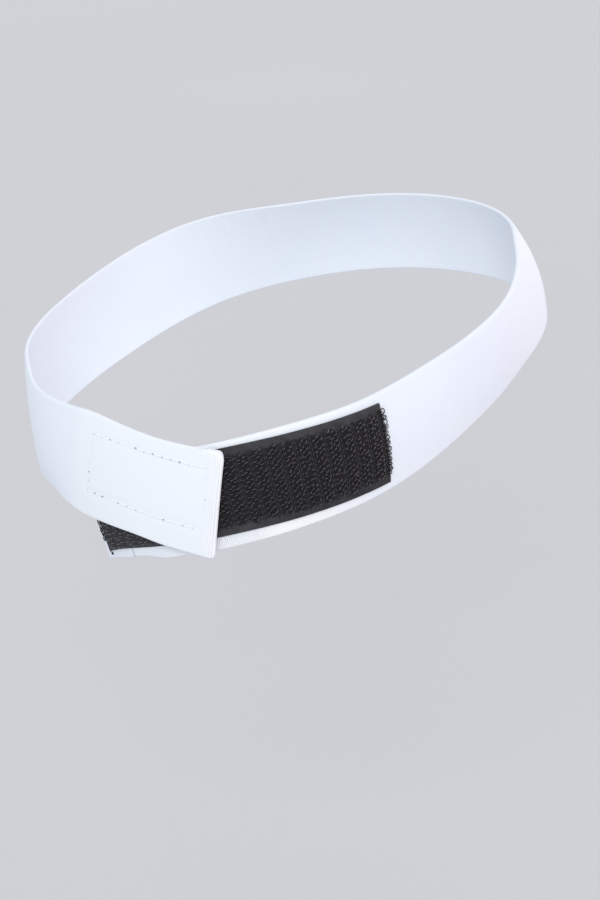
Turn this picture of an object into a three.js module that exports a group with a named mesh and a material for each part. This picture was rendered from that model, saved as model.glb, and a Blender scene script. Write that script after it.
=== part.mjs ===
import * as THREE from "three";
import { mergeVertices } from "three/addons/utils/BufferGeometryUtils.js";

// Elastic wig grip band, fastened at the back with hook and loop tape and kept in its worn form.
// Millimetres. +Z is up, the forehead is towards -Y and the wearer's right is towards -X.
// Each piece is cut flat first: along the strip, across it and outward from the head.
// The flat piece is then laid round the head on the strip's route.

// Elastic strip
const BAND_WIDTH = 35;
const BAND_THICKNESS = 1.3;
const EDGE_RADIUS = 0.5;
const EDGE_SEGMENTS = 1;
const BAND_COLUMNS = 4;
const BAND_STEP = 5;
const PIECE_GAP = 0.3;
const WELD_DISTANCE = 1e-4;

// Head outline, seen from above
const HEAD_HALF_WIDTH = 77;
const HEAD_BACK_DEPTH = 96.2;
const HEAD_FRONT_DEPTH = 105.7;
const HEAD_SQUARENESS = 2.14;

// The outline lies on a slope that rises this far from the middle to the forehead
const OUTLINE_RISE = 20;

// The head's side at angles from its back towards the wearer's right.
// Lean is in degrees where the side meets the outline, plus where its top stands further out.
// Bow is how far the rounded side falls back over half the strip's width.
// The rows past the forehead repeat its two sides, so the side is even there.
const HEAD_SIDE = [
  { angle: -220, lean: -4.8, bow: 2.75 },
  { angle: -180, lean: -14.3, bow: 2.05 },
  { angle: -140, lean: -4.8, bow: 2.75 },
  { angle: -105, lean: 14, bow: 1.6 },
  { angle: -62, lean: 15.3, bow: 1.65 },
  { angle: -20, lean: 12.5, bow: 1.4 },
  { angle: 22, lean: -2.4, bow: 1.1 },
  { angle: 62, lean: 7.4, bow: 1.8 },
  { angle: 105, lean: 14, bow: 1.6 },
  { angle: 140, lean: -4.8, bow: 2.75 },
  { angle: 180, lean: -14.3, bow: 2.05 },
  { angle: 220, lean: -4.8, bow: 2.75 },
];

// Height of the strip's middle line at each turn round the head.
// It sets out low at the back, goes by the wearer's right, the forehead and the left,
// and comes down over its own beginning, so that the two ends cross as a flat V.
const STRIP_ROUTE = [
  { turn: -20, height: -36.7 },
  { turn: 0, height: -26.0 },
  { turn: 20, height: -18.4 },
  { turn: 40, height: -10.6 },
  { turn: 60, height: -3.5 },
  { turn: 80, height: 5.9 },
  { turn: 100, height: 15.4 },
  { turn: 120, height: 25.6 },
  { turn: 140, height: 30.9 },
  { turn: 160, height: 33.2 },
  { turn: 180, height: 33.8 },
  { turn: 200, height: 32.5 },
  { turn: 220, height: 29.2 },
  { turn: 240, height: 24.8 },
  { turn: 260, height: 17.9 },
  { turn: 280, height: 10.6 },
  { turn: 300, height: 4.4 },
  { turn: 320, height: -0.4 },
  { turn: 340, height: -4.4 },
  { turn: 360, height: -8.4 },
  { turn: 380, height: -15.6 },
  { turn: 400, height: -22.8 },
];
const UNDER_END_TURN = -1.3;
const ROUTE_STEP = 0.25;

// Hook tape on the outside of the under end: thin selvedges beside a thicker field of hooks
const HOOK_TAPE_WIDTH = 28.6;
const HOOK_TAPE_START = 2;
const HOOK_TAPE_END = 105.2;
const HOOK_BASE = 0.6;
const HOOK_FIELD = 1.2;
const HOOK_SELVEDGE = 2.8;
const HOOK_FIELD_TAPER = 0.3;

// The hook tape is sewn on a little high and bowed, lower at its two ends
const HOOK_TAPE_RISE = 1.4;
const HOOK_TAPE_BOW = 1.4;
const HOOK_TAPE_BOW_MIDDLE = 50;
const HOOK_TAPE_BOW_REACH = 56;

// Outer tab, its end folded inward as a hem
const TAB_TIP = 630.4;
const HEM_DEPTH = 6.3;
const HEM_BEND_SEGMENTS = 8;
const TAB_TOP_CORNER = 2.5;
const TAB_BOTTOM_CORNER = 1.6;
const CORNER_CURL = 1.3;
const CURL_REACH = 15;

// Loop tape inside the tab
const LOOP_TAPE_WIDTH = 25;
const LOOP_TAPE_LENGTH = 43;
const LOOP_TAPE_RISE = 1.7;
const LOOP_TAPE_THICKNESS = 1.4;
const TAPE_STEP = 4;

// The cut ends are askew: how far each moves along per millimetre up its width.
// The hook tape's own two ends are cut alike.
const UNDER_END_SKEW = 0.2;
const TAB_END_SKEW = -0.12;
const HOOK_TAPE_SKEW = 0.07;
const SKEW_REACH = 22;

// The strip climbs over its beginning between these two turns
const CLIMB_START = 330;
const CLIMB_END = 355;
const HOOK_TAPE_FLOOR = BAND_THICKNESS + PIECE_GAP;
const HOOK_TAPE_TOP = HOOK_TAPE_FLOOR + HOOK_BASE + HOOK_FIELD;
const TAB_LIFT = HOOK_TAPE_TOP + PIECE_GAP + LOOP_TAPE_THICKNESS + PIECE_GAP;
const HEM_BEND_START = TAB_TIP - BAND_THICKNESS - PIECE_GAP / 2;
const HEM_BEND_LENGTH = Math.PI * (BAND_THICKNESS + PIECE_GAP) / 2;

const COLOUR = { elastic: 0xeef2fa, hookTape: 0x17171a, loopTape: 0xe6eaf0 };
const ROUGHNESS = { elastic: 0.82, hookTape: 0.6, loopTape: 0.95 };

// Smooth curve through the rows of a table, with the slope at a row taken from its neighbours
function throughRows(rows, place, column, at) {
  const last = rows.length - 1;
  const slope = (i) => {
    const before = rows[Math.max(i - 1, 0)];
    const after = rows[Math.min(i + 1, last)];
    return (after[column] - before[column]) / (after[place] - before[place]);
  };
  let i = 0;
  while (i < last - 1 && rows[i + 1][place] <= at) {
    i += 1;
  }
  const span = rows[i + 1][place] - rows[i][place];
  const u = (at - rows[i][place]) / span;
  const w = 1 - u;
  const values = (1 + 2 * u) * w * w * rows[i][column] + u * u * (3 - 2 * u) * rows[i + 1][column];
  const slopes = u * w * w * slope(i) - u * u * w * slope(i + 1);
  return values + slopes * span;
}

function headOutline(turn) {
  const angle = THREE.MathUtils.degToRad(turn);
  const depth = Math.cos(angle) > 0 ? HEAD_BACK_DEPTH : HEAD_FRONT_DEPTH;
  const wide = Math.abs(Math.sin(angle) / HEAD_HALF_WIDTH) ** HEAD_SQUARENESS;
  const deep = Math.abs(Math.cos(angle) / depth) ** HEAD_SQUARENESS;
  const radius = (wide + deep) ** (-1 / HEAD_SQUARENESS);
  return new THREE.Vector3(-radius * Math.sin(angle), radius * Math.cos(angle), 0);
}

function headSide(turn, column) {
  const angle = THREE.MathUtils.euclideanModulo(turn + 180, 360) - 180;
  return throughRows(HEAD_SIDE, "angle", column, angle);
}

// How far the rounded side falls back at a distance up or down
function bow(turn, away) {
  return headSide(turn, "bow") * (away / (BAND_WIDTH / 2)) ** 2;
}

function headSurface(turn, height) {
  const probe = 0.01;
  const heading = headOutline(turn + probe).sub(headOutline(turn - probe)).normalize();
  const outward = new THREE.Vector3(heading.y, -heading.x, 0);
  const lean = Math.tan(THREE.MathUtils.degToRad(headSide(turn, "lean")));
  const overOutline = height + OUTLINE_RISE * Math.cos(THREE.MathUtils.degToRad(turn));
  const outset = lean * overOutline - bow(turn, overOutline);
  return headOutline(turn).addScaledVector(outward, outset).setZ(height);
}

function climb(turn) {
  return TAB_LIFT * THREE.MathUtils.smoothstep(turn, CLIMB_START, CLIMB_END);
}

// The strip's middle point at one turn, with its directions up its width and outward from the head
function stripPlace(turn) {
  const probe = 0.01;
  const height = throughRows(STRIP_ROUTE, "turn", "height", turn);
  const nextHeight = throughRows(STRIP_ROUTE, "turn", "height", turn + probe);
  const middle = headSurface(turn, height);
  const heading = headSurface(turn + probe, nextHeight).sub(middle).normalize();
  const up = headSurface(turn, height + probe).sub(middle);
  up.addScaledVector(heading, -up.dot(heading)).normalize();
  const outward = new THREE.Vector3().crossVectors(heading, up);
  return { middle, up, outward };
}

function walkRoute() {
  const walk = [];
  let along = 0;
  let before = null;
  const end = STRIP_ROUTE[STRIP_ROUTE.length - 1].turn;
  for (let turn = STRIP_ROUTE[0].turn; turn <= end; turn += ROUTE_STEP) {
    const { middle, outward } = stripPlace(turn);
    const point = middle.addScaledVector(outward, climb(turn));
    along += before ? point.distanceTo(before) : 0;
    walk.push({ turn, along });
    before = point;
  }
  const start = throughRows(walk, "turn", "along", UNDER_END_TURN);
  return walk.map((row) => ({ turn: row.turn, along: row.along - start }));
}

const ROUTE_WALK = walkRoute();

function wornPoint(along, across, outward) {
  const turn = throughRows(ROUTE_WALK, "along", "turn", along);
  const place = stripPlace(turn);
  const point = place.middle.addScaledVector(place.up, across);
  return point.addScaledVector(place.outward, climb(turn) + outward - bow(turn, across));
}

// Slant of the two cut ends, fading out along the strip
function slant(along, across) {
  const underEnd = UNDER_END_SKEW * Math.max(0, 1 - along / SKEW_REACH);
  const tabEnd = TAB_END_SKEW * Math.max(0, 1 - (TAB_TIP - along) / SKEW_REACH);
  return along + across * (underEnd + tabEnd);
}

// A flat piece: its section runs across and outward, and a row of stations is set along it
function cutFlat(section, stations, shape) {
  const steps = stations.length - 1;
  const flat = new THREE.ExtrudeGeometry(section, {
    depth: steps,
    steps,
    bevelEnabled: false,
    curveSegments: EDGE_SEGMENTS,
  });
  flat.deleteAttribute("normal");
  flat.deleteAttribute("uv");
  const solid = mergeVertices(flat, WELD_DISTANCE);
  const points = solid.attributes.position;
  for (let i = 0; i < points.count; i += 1) {
    const station = stations[Math.round(points.getZ(i))];
    const point = shape(station, points.getX(i), points.getY(i));
    points.setXYZ(i, point.x, point.y, point.z);
  }
  solid.computeVertexNormals();
  return solid;
}

// A thin section with rounded edges, its two faces divided so that they can follow a twist
function roundedSection(width, thickness, radius, columns) {
  const half = width / 2;
  const flat = half - radius;
  const quarter = Math.PI / 2;
  const section = new THREE.Shape();
  const face = (from, level) => {
    for (let i = 1; i < columns; i += 1) {
      section.lineTo(from * (1 - (2 * i) / columns), level);
    }
  };
  section.absarc(flat, radius, radius, -quarter, 0);
  section.absarc(flat, thickness - radius, radius, 0, quarter);
  face(flat, thickness);
  section.absarc(-flat, thickness - radius, radius, quarter, 2 * quarter);
  section.absarc(-flat, radius, radius, 2 * quarter, 3 * quarter);
  face(-flat, 0);
  return section;
}

function evenStations(start, end, step) {
  const count = Math.ceil((end - start) / step);
  return Array.from({ length: count + 1 }, (_, i) => start + ((end - start) * i) / count);
}

// Folds the flat strip's end inward by a half turn at the tab's tip
function foldHem(along, outward) {
  const past = along - HEM_BEND_START;
  const radius = outward + PIECE_GAP / 2;
  const angle = Math.PI * THREE.MathUtils.clamp(past / HEM_BEND_LENGTH, 0, 1);
  const straight = past < 0 ? past : Math.min(0, HEM_BEND_LENGTH - past);
  return {
    along: HEM_BEND_START + straight + radius * Math.sin(angle),
    outward: radius * Math.cos(angle) - PIECE_GAP / 2,
  };
}

// Rounds the tab's two corners by drawing its edges in near the tip
function roundCorner(along, across) {
  const radius = across > 0 ? TAB_TOP_CORNER : TAB_BOTTOM_CORNER;
  const inside = Math.min(radius, Math.max(0, TAB_TIP - along));
  const drawnIn = radius - Math.sqrt(radius ** 2 - (radius - inside) ** 2);
  return across - Math.sign(across) * drawnIn;
}

// The tab's lower corner curls a little away from the head
function curl(along, across) {
  const away = Math.hypot(TAB_TIP - along, across + BAND_WIDTH / 2);
  return CORNER_CURL * Math.max(0, 1 - away / CURL_REACH) ** 2;
}

function elasticPoint(station, across, outward) {
  const folded = foldHem(station, outward);
  const drawn = roundCorner(folded.along, across);
  const lifted = folded.outward + curl(folded.along, drawn);
  return wornPoint(slant(folded.along, drawn), drawn, lifted);
}

function elasticBand() {
  const bendEnd = HEM_BEND_START + HEM_BEND_LENGTH;
  const hemEnd = bendEnd + HEM_DEPTH - (TAB_TIP - HEM_BEND_START);
  const finePart = HEM_BEND_START - HEM_DEPTH;
  const stations = [
    ...evenStations(0, finePart, BAND_STEP).slice(0, -1),
    ...evenStations(finePart, HEM_BEND_START, TAB_TOP_CORNER / 4).slice(0, -1),
    ...evenStations(HEM_BEND_START, bendEnd, HEM_BEND_LENGTH / HEM_BEND_SEGMENTS).slice(0, -1),
    ...evenStations(bendEnd, hemEnd, TAB_TOP_CORNER / 2),
  ];
  const section = roundedSection(BAND_WIDTH, BAND_THICKNESS, EDGE_RADIUS, BAND_COLUMNS);
  return cutFlat(section, stations, elasticPoint);
}

function hookPatch() {
  const half = HOOK_TAPE_WIDTH / 2;
  const field = half - HOOK_SELVEDGE;
  const top = HOOK_BASE + HOOK_FIELD;
  const section = new THREE.Shape();
  section.moveTo(-half, 0);
  section.lineTo(-field / 2, 0);
  section.lineTo(0, 0);
  section.lineTo(field / 2, 0);
  section.lineTo(half, 0);
  section.lineTo(half, HOOK_BASE);
  section.lineTo(field, HOOK_BASE);
  section.lineTo(field - HOOK_FIELD_TAPER, top);
  section.lineTo(field / 2, top);
  section.lineTo(0, top);
  section.lineTo(-field / 2, top);
  section.lineTo(HOOK_FIELD_TAPER - field, top);
  section.lineTo(-field, HOOK_BASE);
  section.lineTo(-half, HOOK_BASE);
  const endSkew = (away) => HOOK_TAPE_SKEW * Math.max(0, 1 - away / SKEW_REACH);
  const stations = evenStations(HOOK_TAPE_START, HOOK_TAPE_END, TAPE_STEP);
  return cutFlat(section, stations, (along, across, outward) => {
    const fromMiddle = (along - HOOK_TAPE_BOW_MIDDLE) / HOOK_TAPE_BOW_REACH;
    const placed = across + HOOK_TAPE_RISE - HOOK_TAPE_BOW * fromMiddle ** 2;
    const skew = endSkew(HOOK_TAPE_END - along) + endSkew(along - HOOK_TAPE_START);
    return wornPoint(along + skew * placed, placed, HOOK_TAPE_FLOOR + outward);
  });
}

function loopPatch() {
  const end = TAB_TIP - HEM_DEPTH - PIECE_GAP;
  const stations = evenStations(end - LOOP_TAPE_LENGTH, end, TAPE_STEP);
  const section = roundedSection(LOOP_TAPE_WIDTH, LOOP_TAPE_THICKNESS, EDGE_RADIUS, BAND_COLUMNS);
  return cutFlat(section, stations, (along, across, outward) => {
    const placed = across + LOOP_TAPE_RISE;
    const depth = outward - LOOP_TAPE_THICKNESS - PIECE_GAP;
    return wornPoint(slant(along, placed), placed, depth);
  });
}

function piece(name, solid, material) {
  const mesh = new THREE.Mesh(
    solid,
    new THREE.MeshStandardMaterial({
      color: COLOUR[material],
      roughness: ROUGHNESS[material],
      metalness: 0,
    }),
  );
  mesh.name = name;
  return mesh;
}

const gripBand = new THREE.Group();
gripBand.name = "wig_grip_band";
gripBand.add(piece("elastic_band", elasticBand(), "elastic"));
gripBand.add(piece("hook_patch", hookPatch(), "hookTape"));
gripBand.add(piece("loop_patch", loopPatch(), "loopTape"));

export default gripBand;
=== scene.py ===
import math

import bpy
import numpy as np
from mathutils import Matrix, Vector


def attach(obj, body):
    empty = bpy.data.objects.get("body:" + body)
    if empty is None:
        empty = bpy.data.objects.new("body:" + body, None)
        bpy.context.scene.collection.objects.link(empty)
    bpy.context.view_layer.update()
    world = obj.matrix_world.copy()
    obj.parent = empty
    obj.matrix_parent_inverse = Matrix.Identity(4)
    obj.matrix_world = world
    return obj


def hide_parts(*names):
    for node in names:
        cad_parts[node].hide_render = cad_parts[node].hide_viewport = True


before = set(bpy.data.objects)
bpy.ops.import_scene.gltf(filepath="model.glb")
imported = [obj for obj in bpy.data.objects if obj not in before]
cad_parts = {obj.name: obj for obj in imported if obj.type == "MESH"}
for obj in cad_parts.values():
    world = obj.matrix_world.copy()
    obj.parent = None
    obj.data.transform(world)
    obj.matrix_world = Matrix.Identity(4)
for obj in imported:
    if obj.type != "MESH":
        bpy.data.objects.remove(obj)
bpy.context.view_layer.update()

MM = 0.001
RANDOM = np.random.default_rng(35)

# Elastic strip, in millimetres as in the solids
BAND_WIDTH = 35.0
HALF_BAND = BAND_WIDTH / 2
BAND_THICKNESS = 1.3
EDGE_RADIUS = 0.5
PIECE_GAP = 0.3
RIB_PITCH = 0.68
RIB_WANDER = 0.0541
CORD_PITCH = 0.9

# Outline of the worn loop seen from above, and the slope it lies on
LOOP_HALF_WIDTH = 77.0
LOOP_BACK_DEPTH = 96.2
LOOP_FRONT_DEPTH = 105.7
LOOP_SQUARENESS = 2.14
OUTLINE_RISE = 20.0

# Columns: angle from the loop's back towards its right, lean of the loop's side in degrees,
# and how far that side stands out in the middle of the strip's width
LOOP_SIDE = (
    (-220, -4.8, 2.75), (-180, -14.3, 2.05), (-140, -4.8, 2.75), (-105, 14.0, 1.6),
    (-62, 15.3, 1.65), (-20, 12.5, 1.4), (22, -2.4, 1.1), (62, 7.4, 1.8),
    (105, 14.0, 1.6), (140, -4.8, 2.75), (180, -14.3, 2.05), (220, -4.8, 2.75),
)

# Columns: turn round the loop in degrees, height of the strip's middle line
STRIP_ROUTE = (
    (-20, -36.7), (0, -26.0), (20, -18.4), (40, -10.6), (60, -3.5), (80, 5.9),
    (100, 15.4), (120, 25.6), (140, 30.9), (160, 33.2), (180, 33.8), (200, 32.5),
    (220, 29.2), (240, 24.8), (260, 17.9), (280, 10.6), (300, 4.4), (320, -0.4),
    (340, -4.4), (360, -8.4), (380, -15.6), (400, -22.8),
)
UNDER_END_TURN = -1.3
ROUTE_STEP = 0.1
PROBE_STEP = 0.01

# Hook tape on the under end, its ground sewn a little way into the gap below it
HOOK_TAPE_WIDTH = 28.6
HOOK_TAPE_START = 2.0
HOOK_TAPE_END = 105.2
HOOK_BASE = 0.6
HOOK_FIELD = 1.2
HOOK_SELVEDGE = 2.8
HALF_FIELD = HOOK_TAPE_WIDTH / 2 - HOOK_SELVEDGE
TAPE_SEWN_IN = 0.2
TAPE_EDGE_RADIUS = 0.18
TAPE_STEP = 0.9
GROUND_THREAD_PITCH = 0.5

# The tape is sewn on with a slight bow. Columns: along, rise of its middle over the strip's middle
HOOK_TAPE_ROUTE = (
    (-2, -0.75), (2, -0.23), (8, 0.46), (14, 0.82), (30, 1.22), (50, 1.4), (54, 1.37), (62, 1.2),
    (70, 0.93), (78, 0.79), (86, 0.7), (94, 0.62), (102, 0.42), (110, 0.1),
)

# Hooks: three staggered columns across the tape and then a lane, twisted more towards the far end
LANE_PITCH = 4.81
COLUMN_PITCH = 1.1
COLUMNS_TO_A_LANE = 3
ROW_PITCH = 1.82
LAST_LANE = HOOK_TAPE_END - 5.1
HOOK_TWIST = math.radians(28)
TWIST_START = 23.0
TWIST_END = 83.0
HOOK_SIZE = 0.96
HOOK_WIRE = 0.18
WIRE_SIDES = 6
HOOKS_ONE_WAY = 0.8
HOOK_UNEVEN = {"along": 0.18, "across": 0.24, "twist": 0.4, "size": 0.14, "sway": 0.3}

# A hook's leg and bend, and the stub of its loop's cut leg. Columns of leg and stub: reach, height
HOOK_LEG = ((-0.38, -0.05), (-0.43, 0.32))
HOOK_BEND_MIDDLE = (0.03, 0.70)
HOOK_BEND_RADII = (0.47, 0.46)
HOOK_BEND_SWEEP = (185, -50)
HOOK_BEND_POINTS = 9
HOOK_STUB = ((0.66, -0.05), (0.67, 0.2), (0.64, 0.42))

# Ragged border of the field of hooks, and the share of hooks that are missing
FIELD_RAGGED = (-0.7, 0.5)
FIELD_PAST_TOP = 0.4
ROWS_PAST_TOP = 1.0
FIELD_NEAR_GAP = 0.6
FIELD_FAR_GAP = 0.2
HOOKS_MISSING = 0.05

# Near the tape's beginning the hooks reach down almost to its lower edge
LOW_HOOKS = 2.1
LOW_HOOKS_FROM = 36.0
LOW_HOOKS_FULL = 14.0

# Two cords in each lane, at places from its middle, that lie deeper towards the tab
LANE_CORDS_AT = (-0.35, 0.4)
LANE_CORD = 0.16
LANE_CORD_SEAT = 0.02
LANE_CORD_WAVE = 0.28
LANE_CORD_UNEVEN = 0.14
LANE_CORD_STEPS = 7
LANE_CORD_SINK = 0.2
LANE_SINK_FROM = 80.0
LANE_SINK_FULL = 35.0

# Rings of thread at the tape's ends. Columns: end, way out, spacing, size, overhang, wire
END_RINGS = (
    (HOOK_TAPE_END, 1, 1.85, 0.84, 0.55, 0.17),
    (HOOK_TAPE_END, 1, 1.9, 0.5, -0.1, 0.14),
    (HOOK_TAPE_START, -1, 1.6, 1.05, 0.7, 0.18),
)
RINGS_TOP_GAP = 0.3
RINGS_LOW_GAP = 1.6
RING_SWEEP = (200, -150)
RING_POINTS = 18
SMALLEST_RING = 0.6
RINGS_GROW = (-9, 7)
RING_LIFT = 0.15
RING_DROP = 0.3
RING_LOWEST = -0.65
RING_UNEVEN = {"across": 0.3, "size": 0.22, "overhang": 0.2, "tilt": 0.3, "wire": 0.3}

# The tape's sewing thread at its lower corner. Columns: along, across, outward, thickness
THREAD_END = (
    (1.6, -13.4, 2.2, 0.14), (1.0, -14.4, 2.4, 0.14), (0.45, -15.2, 1.7, 0.16),
    (0.15, -15.75, 1.5, 0.42), (0.05, -16.1, 1.45, 0.24),
)

# Outer tab with its hem, and the loop tape inside it
TAB_TIP = 630.4
HEM_DEPTH = 6.3
TAB_TOP_CORNER = 2.5
TAB_BOTTOM_CORNER = 1.6
CORNER_CURL = 1.3
CURL_REACH = 15.0
LOOP_TAPE_WIDTH = 25.0
LOOP_TAPE_LENGTH = 43.0
LOOP_TAPE_RISE = 1.7
LOOP_TAPE_THICKNESS = 1.4
LOOP_NAP = 0.12

# Slant of the cut ends, and the climb of the tab over the under end
UNDER_END_SKEW = 0.2
TAB_END_SKEW = -0.12
HOOK_TAPE_FAR_SKEW = 0.095
HOOK_TAPE_NEAR_SKEW = 0.11
SKEW_REACH = 22.0
CLIMB_START = 330.0
CLIMB_END = 355.0
HOOK_TAPE_FLOOR = BAND_THICKNESS + PIECE_GAP
HOOK_TAPE_TOP = HOOK_TAPE_FLOOR + HOOK_BASE + HOOK_FIELD
TAB_LIFT = HOOK_TAPE_TOP + PIECE_GAP + LOOP_TAPE_THICKNESS + PIECE_GAP
HEM_BEND_START = TAB_TIP - BAND_THICKNESS - PIECE_GAP / 2
HEM_BEND_LENGTH = math.pi * (BAND_THICKNESS + PIECE_GAP) / 2

# Corners of the stitched box on the tab. Columns: along, across
STITCH_BOX = ((583.6, 11.2), (624.1, 12.1), (626.9, -8.2), (583.8, -8.7))

# How open each needle hole is, a row for each side of the box from its first corner
NEEDLE_HOLES = (
    (0.45, 0.25, 0.6, 0.35, 0.0, 0.85, 0.3, 0.75, 0.55, 0.6, 0.9, 0.15, 0.0),
    (0.0, 0.1, 0.0, 0.4, 0.1, 0.0),
    (0.1, 0.2, 0.45, 0.05, 0.7, 0.2, 0.15, 0.45, 0.4, 0.6, 0.1, 0.85, 0.8),
    (0.35, 0.25, 0.7, 0.1, 0.2, 0.15),
)
HOLES_UNEVEN = 0.08
SMALLEST_HOLE = 0.05
HOLE_GROWTH = 0.3
HOLE_STRETCH = 1.3
HOLE_RIM = 0.06
HOLE_DEPTH = 0.4
STITCH_SINK = 0.1
STITCH_PULL_REACH = 1.3
STITCH_THREAD = 0.21
STITCH_SEAT = 0.28
STITCH_BULGE = 0.18
STITCH_ROUNDNESS = 0.6
STITCH_DRAWN_IN = 0.07
STITCH_SHARE = (0.06, 0.94)

# Slight waver of the strip's two edges. Columns: along, rise of the upper edge, of the lower edge
EDGE_WAVER = (
    (-5, 0.0, -0.45), (6, 0.0, -0.1), (11, 0.0, 0.2), (13, 0.0, 0.5), (16, 0.0, 0.65),
    (19, 0.0, 0.55), (23, 0.0, -0.1), (26, 0.0, -0.4), (33, 0.0, 0.0), (525, 0.0, 0.0),
    (541, -1.0, 0.0), (548, -1.0, 0.1), (557, -0.6, 0.3), (565, -0.3, 0.8), (573, 0.0, 0.5),
    (581, 0.5, -0.75), (593, -0.2, -0.2), (605, -0.5, 0.55), (617, 0.1, 0.3), (632, 0.5, 0.4),
)
WAVER_FROM = 8.0

# Crease across the under end's lower margin, drawn as a line of painted shade. Pairs: where it begins to
# show and where it is full
CREASE_AT = 13.4
CREASE_WIDTH = (0.5, 0.1)
CREASE_ACROSS = (12.6, 13.4)

# Margins beside the hook tape, whiter than the rest by painted light and ribbed by the tab, then where the
# edges and the strip before the tab get painted shade. Pairs as above
LOW_MARGIN = (13.0, 14.0)
TOP_MARGIN = (15.2, 15.8)
PAINTED_LIGHT_NEAR = (18.0, 40.0)
PAINTED_LIGHT_FAR = (110.0, 76.0)
RIBBED_AT = 50.0
RIBBED_REACH = (14.0, 5.0)
# painted shade on the elastic's rounded edges, which the top light would otherwise brighten
EDGE_SHADE_AT = (17.0, 17.3)
# painted shade: the strip before the tab is coloured darker and bluer than the tab
SHADE_BEFORE_TAB = (580.0, 574.0)

# The hook tape's own selvedges, with an uneven border and the lower one darker far along. Pairs as above
TAPE_SELVEDGE = (HALF_FIELD - 0.4, HALF_FIELD + 0.9)
TAPE_SELVEDGE_UNEVEN = 5.0
LOW_SELVEDGE_DARK = (56.0, 70.0)

# Ribs that stand out at the hem and go on round its fold; the hem also gets painted light, and painted
# shade in its rib grooves
HEM_RIB_PITCH = 0.7
HEM_RIB_HEIGHT = 0.04
HEM_RIBS_REACH = 4.6
HEM_RIBS_BLEND = 1.5
HEM_PAINT_BLEND = 2.5
HEM_FOLD_BLEND = (2.0, 0.5)

# Low steps in the elastic's outer face: behind the hem, and the bead along each edge
HEM_STEP = 0.18
HEM_STEP_BLEND = (-0.9, 0.5)
HEM_STEP_FADE = (60.0, 20.0)
EDGE_BEAD = 0.04
EDGE_BEAD_AT = 16.6
EDGE_BEAD_WIDTH = 0.45
RELIEF_BLEND = 1.5

# The tab's top edge, bent back near its corner with a faint line of painted shade at the bend
BENT_LENGTH = 11.0
BENT_HEIGHT = 1.6
BENT_SLOPE = 0.6
BEND_LINE = (0.35, 0.1)
BEND_LINE_STARTS = (0.05, 0.2)
BEND_LINE_ENDS = (1.5, 3.0)

# The lower edge tucks in just before the tab
LOWER_TUCK = 1.4
TUCK_MIDDLE = 560.0
TUCK_REACH = 16.0

# Raw cut of the under end, with its loose fibres
RAGGED_CUT = 0.14
RAGGED_REACH = 1.5
FIBRES = 110
FIBRE_ROOT = 0.35
SHORTEST_FIBRE = 0.2
FIBRE_GROWTH = 1.1
FIBRE_LEAN = 0.7
FIBRE_DROOP = 0.5
FIBRE_INSET = 0.4
FIBRE_HEIGHTS = (0.2, BAND_THICKNESS - 0.15)
FIBRE_THICKNESS = 0.07
FIBRE_TAPER = 0.6

# Steps along the strip: plain, under the stitches and at the hem
STRIP_STEP = 1.5
TAB_STEP = 0.5
HEM_STATION_STEP = 0.155
STITCHES_LEAD = 6.0
HEM_LEAD = 12.0
BEFORE_BEND = 0.1
HEM_BEND_POINTS = 13
HEM_INSIDE_POINTS = 8
LOOP_TAPE_POINTS = 60

# Points along the threads, and sides round them
STITCH_POINTS = 7
FIBRE_POINTS = 5
FIBRE_SIDES = 5
THREAD_SIDES = 8

# Edges sharper than this stay sharp in the shading
SHARP_ANGLE = math.radians(50)

# Camera fitted to the photo: degrees, millimetres and pixels of the 600 x 900 frame
CAMERA_AZIMUTH = 221.05
CAMERA_ELEVATION = 17.83
CAMERA_ROLL = -0.38
CAMERA_DISTANCE = 791.98
CAMERA_RIGHT = 2.69
CAMERA_UP = -27.80
FOCAL_PIXELS = 2210.9
FRAME_PIXELS = 900.0
SENSOR_MM = 36.0

# Columns: name, azimuth, elevation, strength, softness in degrees, colour
LIGHTS = (
    ("key_softbox", 214, 28, 1.07, 26, (1.0, 1.0, 1.0)),
    ("right_softbox", 316, 20, 0.96, 40, (1.0, 0.81, 0.84)),
    ("left_softbox", 95, 20, 0.27, 40, (0.64, 0.76, 1.0)),
    ("top_softbox", 200, 84, 0.42, 60, (1.0, 1.0, 1.0)),
)
STUDIO_COLOUR = (0.95, 0.97, 1.0, 1.0)
STUDIO_STRENGTH = 0.73
FLOOR_HALF_SIZE = 20000.0
FLOOR_LEVEL = -260.0


def through_rows(rows, at):
    """Smooth curve through a table's rows, each row's slope taken from its neighbours."""
    place, value = np.array(rows, float).T
    last = len(place) - 1
    after = np.minimum(np.arange(last + 1) + 1, last)
    before = np.maximum(np.arange(last + 1) - 1, 0)
    slope = (value[after] - value[before]) / (place[after] - place[before])
    i = np.clip(np.searchsorted(place, at, side="right") - 1, 0, last - 1)
    span = place[i + 1] - place[i]
    u = (at - place[i]) / span
    w = 1 - u
    values = (1 + 2 * u) * w * w * value[i] + u * u * (3 - 2 * u) * value[i + 1]
    return values + (u * w * w * slope[i] - u * u * w * slope[i + 1]) * span


def smoothstep(value, low, high):
    u = np.clip((value - low) / (high - low), 0, 1)
    return u * u * (3 - 2 * u)


def unit(vectors):
    return vectors / np.linalg.norm(vectors, axis=-1, keepdims=True)


def shuffle(spread, count):
    """Random offsets up to the spread either way."""
    return RANDOM.uniform(-spread, spread, count)


def loop_outline(turn):
    angle = np.radians(turn)
    depth = np.where(np.cos(angle) > 0, LOOP_BACK_DEPTH, LOOP_FRONT_DEPTH)
    wide = np.abs(np.sin(angle) / LOOP_HALF_WIDTH) ** LOOP_SQUARENESS
    deep = np.abs(np.cos(angle) / depth) ** LOOP_SQUARENESS
    radius = (wide + deep) ** (-1 / LOOP_SQUARENESS)
    return np.stack([-radius * np.sin(angle), radius * np.cos(angle), 0 * angle], -1)


def loop_side(turn, column):
    return through_rows(np.array(LOOP_SIDE)[:, [0, column]], (turn + 180) % 360 - 180)


def bow(turn, away):
    """How far the rounded side of the loop falls back at a distance up or down."""
    return loop_side(turn, 2) * (away / HALF_BAND) ** 2


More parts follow.
